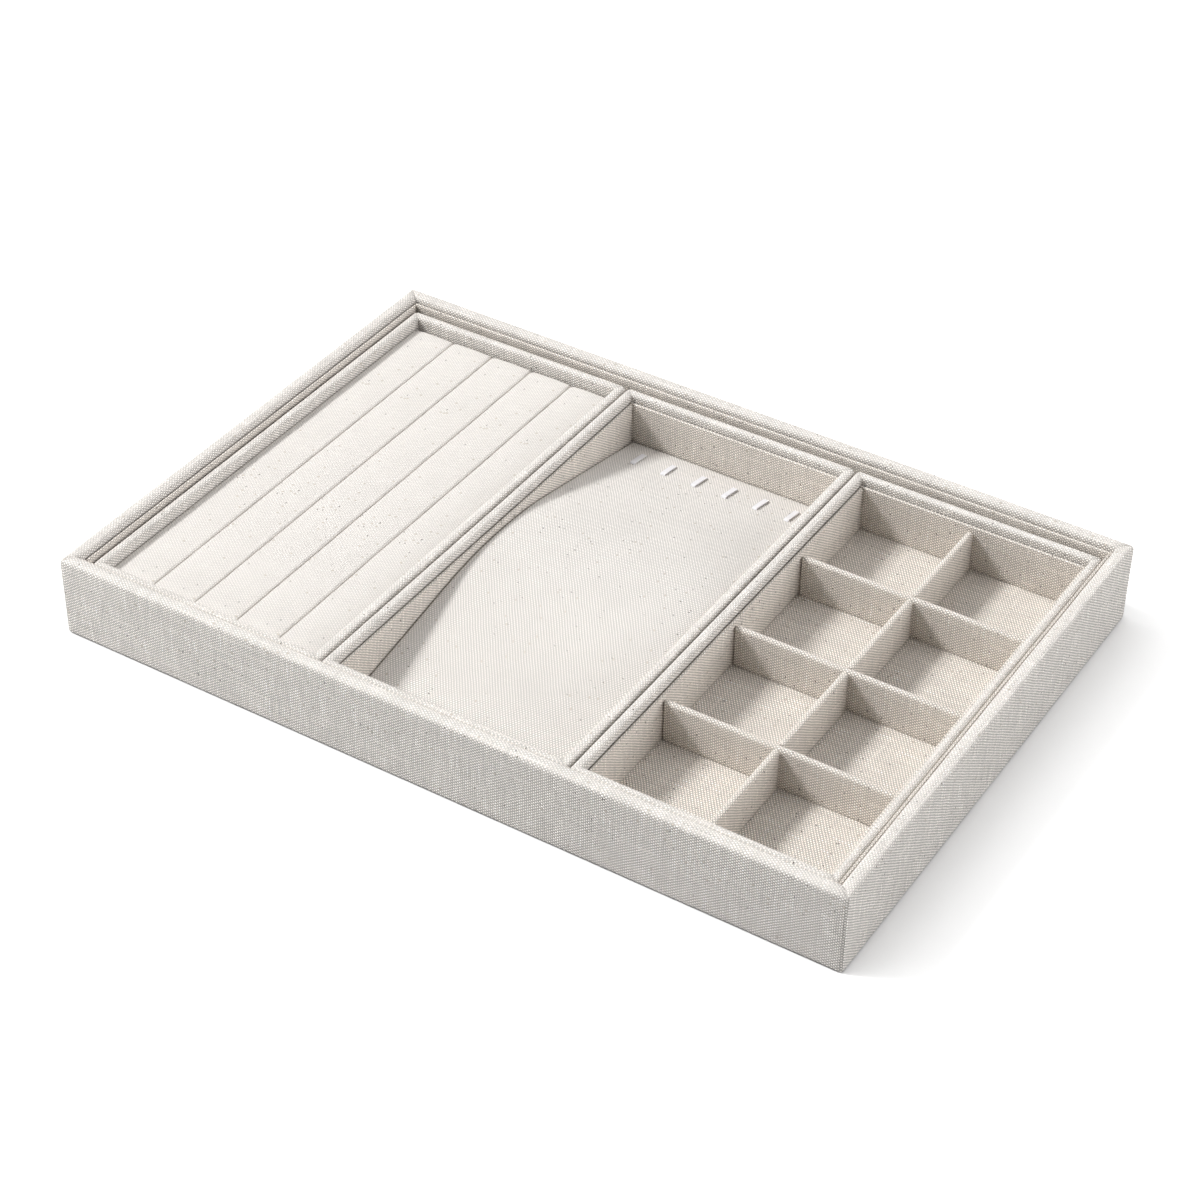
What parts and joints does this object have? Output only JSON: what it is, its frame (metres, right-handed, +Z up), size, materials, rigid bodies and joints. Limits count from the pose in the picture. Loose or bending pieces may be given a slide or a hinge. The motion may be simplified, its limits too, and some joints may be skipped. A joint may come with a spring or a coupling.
{
  "type": "jewelry tray",
  "caption": "Shallow linen-covered jewelry tray with three lift-out inserts: ring rolls, a sloping necklace pad with loops, and open compartments.",
  "frame": {"origin": "middle of the underside, on the surface that the tray stands on", "axes": "+X along the long side, towards the compartment tray; +Y to the back, where the necklace loops are; +Z up"},
  "size_m": [0.35, 0.24, 0.0365],
  "materials": {
    "linen": "natural plain-weave linen glued over card or board",
    "pad_linen": "natural plain-weave linen over foam",
    "board": "medium-density fibreboard, raw",
    "card": "grey board, raw",
    "foam": "open-cell foam, matte",
    "base_felt": "short-pile felt",
    "loop_tape": "smooth white ribbon with a slight sheen"
  },
  "bodies": {
    "outer_tray": {"outer_base_cloth": "base_felt", "outer_base_board": "board", "outer_front_board": "board", "outer_back_board": "board", "outer_left_board": "board", "outer_right_board": "board", "outer_wrap": "linen", "outer_floor_lining": "linen", "outer_lining_front": "linen", "outer_lining_back": "linen", "outer_lining_left": "linen", "outer_lining_right": "linen"},
    "ring_tray": {"ring_tray_base_cloth": "base_felt", "ring_tray_base_board": "board", "ring_tray_front_board": "board", "ring_tray_back_board": "board", "ring_tray_left_board": "board", "ring_tray_right_board": "board", "ring_tray_wrap": "linen", "ring_tray_floor_card": "card", "ring_roll_cover_1": "pad_linen", "ring_roll_cover_2": "pad_linen", "ring_roll_cover_3": "pad_linen", "ring_roll_cover_4": "pad_linen", "ring_roll_cover_5": "pad_linen", "ring_roll_cores": "foam"},
    "necklace_tray": {"necklace_tray_base_cloth": "base_felt", "necklace_tray_base_board": "board", "necklace_tray_front_board": "board", "necklace_tray_back_board": "board", "necklace_tray_left_board": "board", "necklace_tray_right_board": "board", "necklace_tray_wrap": "linen", "necklace_tray_floor_card": "card", "necklace_lining_front": "linen", "necklace_lining_back": "linen", "necklace_lining_left": "linen", "necklace_lining_right": "linen", "necklace_ramp_core": "foam", "necklace_ramp_cover": "pad_linen", "necklace_loops": "loop_tape"},
    "compartment_tray": {"compartment_tray_base_cloth": "base_felt", "compartment_tray_base_board": "board", "compartment_tray_front_board": "board", "compartment_tray_back_board": "board", "compartment_tray_left_board": "board", "compartment_tray_right_board": "board", "compartment_tray_wrap": "linen", "compartment_tray_floor_lining": "linen", "compartment_lining_front": "linen", "compartment_lining_back": "linen", "compartment_lining_left": "linen", "compartment_lining_right": "linen", "long_divider": "linen", "cross_divider_front": "linen", "cross_divider_middle": "linen", "cross_divider_back": "linen"}
  },
  "joints": [
    {"name": "ring_tray_lift", "type": "slide", "parent": "outer_tray", "child": "ring_tray", "axis": [0, 0, 1], "range_m": [0, 0.045]},
    {"name": "necklace_tray_lift", "type": "slide", "parent": "outer_tray", "child": "necklace_tray", "axis": [0, 0, 1], "range_m": [0, 0.045]},
    {"name": "compartment_tray_lift", "type": "slide", "parent": "outer_tray", "child": "compartment_tray", "axis": [0, 0, 1], "range_m": [0, 0.045]}
  ]
}
